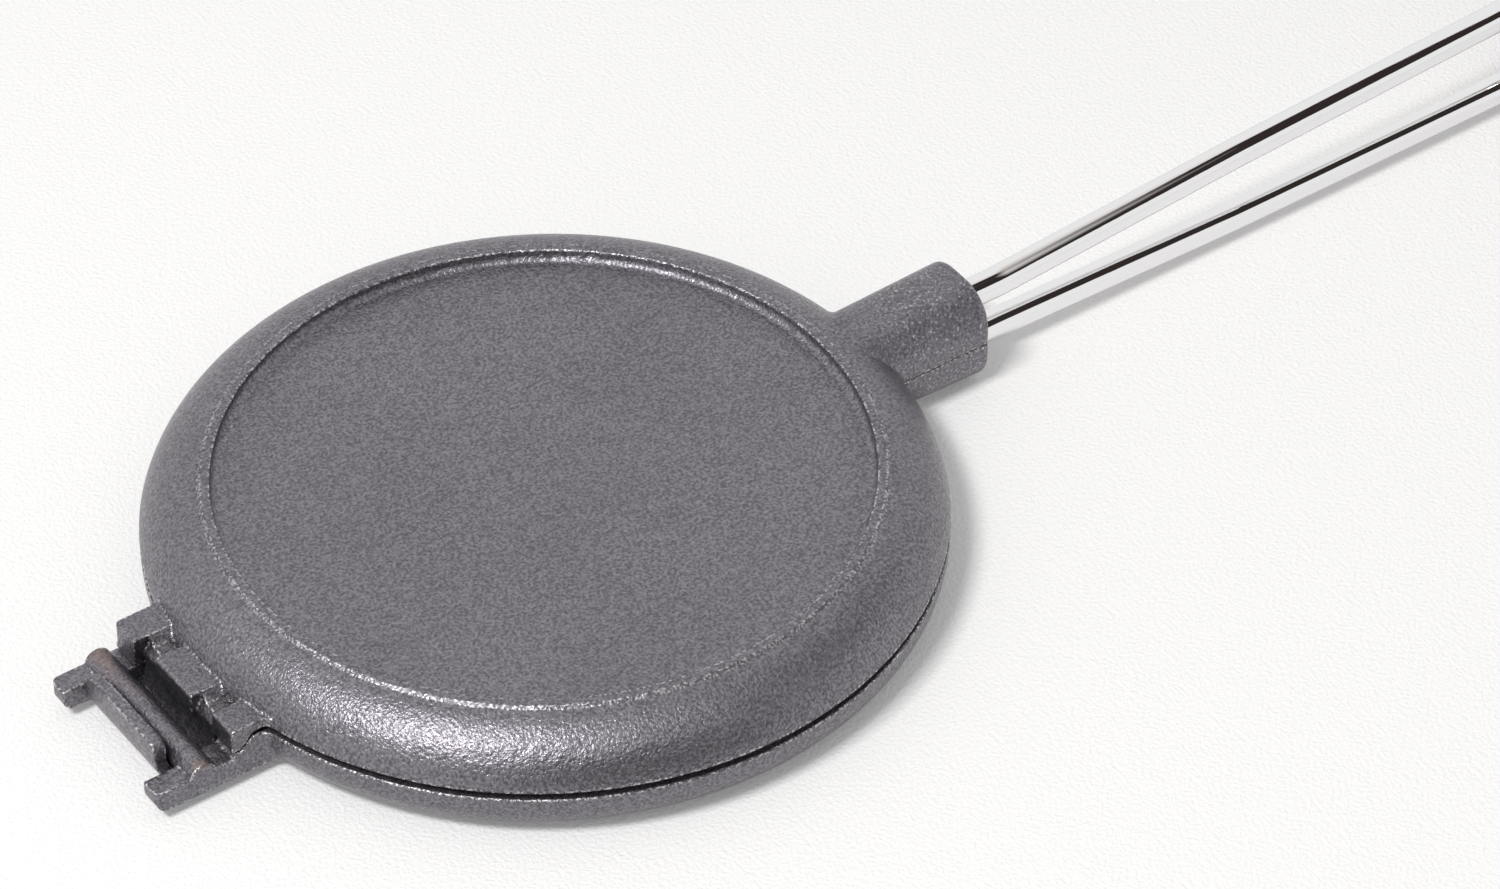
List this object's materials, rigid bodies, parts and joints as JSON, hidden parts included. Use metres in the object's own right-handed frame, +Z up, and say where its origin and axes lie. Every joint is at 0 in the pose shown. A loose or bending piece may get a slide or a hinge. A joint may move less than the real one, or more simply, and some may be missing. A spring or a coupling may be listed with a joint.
{
  "type": "egg waffle pan",
  "caption": "Hinged two-part round pan that bakes a sheet of egg-shaped waffle bubbles, with a long steel rod handle on each half.",
  "frame": {"origin": "centre of the disc on the plane that the lower casting's land ring rests on", "axes": "+X from the disc's centre along the handles, +Y across, +Z up through the closed halves"},
  "size_m": [0.5416, 0.2, 0.0429],
  "materials": {
    "coated_casting": "fine cast texture under a dark stove coating, satin",
    "spring_steel": "plain spring steel",
    "chromed_rod": "bright chrome plate",
    "phenolic_grip": "moulded black, satin",
    "bright_ferrule": "bright plate",
    "zinc_washer": "zinc plate",
    "bright_nut": "bright plate"
  },
  "bodies": {
    "lower_half": {"lower_pan": "coated_casting", "lower_socket_pin": "spring_steel", "lower_handle_rod": "chromed_rod", "lower_grip": "phenolic_grip", "lower_ferrule": "bright_ferrule", "lower_grip_washer": "zinc_washer", "lower_cap_nut": "bright_nut"},
    "upper_half": {"upper_pan": "coated_casting", "upper_socket_pin": "spring_steel", "upper_handle_rod": "chromed_rod", "upper_grip": "phenolic_grip", "upper_ferrule": "bright_ferrule", "upper_grip_washer": "zinc_washer", "upper_cap_nut": "bright_nut"}
  },
  "joints": [
    {"name": "lid_hinge", "type": "hinge", "parent": "lower_half", "child": "upper_half", "pos_m": [-0.1145, 0, 0.00855], "axis": [0, -1, 0], "range_deg": [0, 110]}
  ]
}
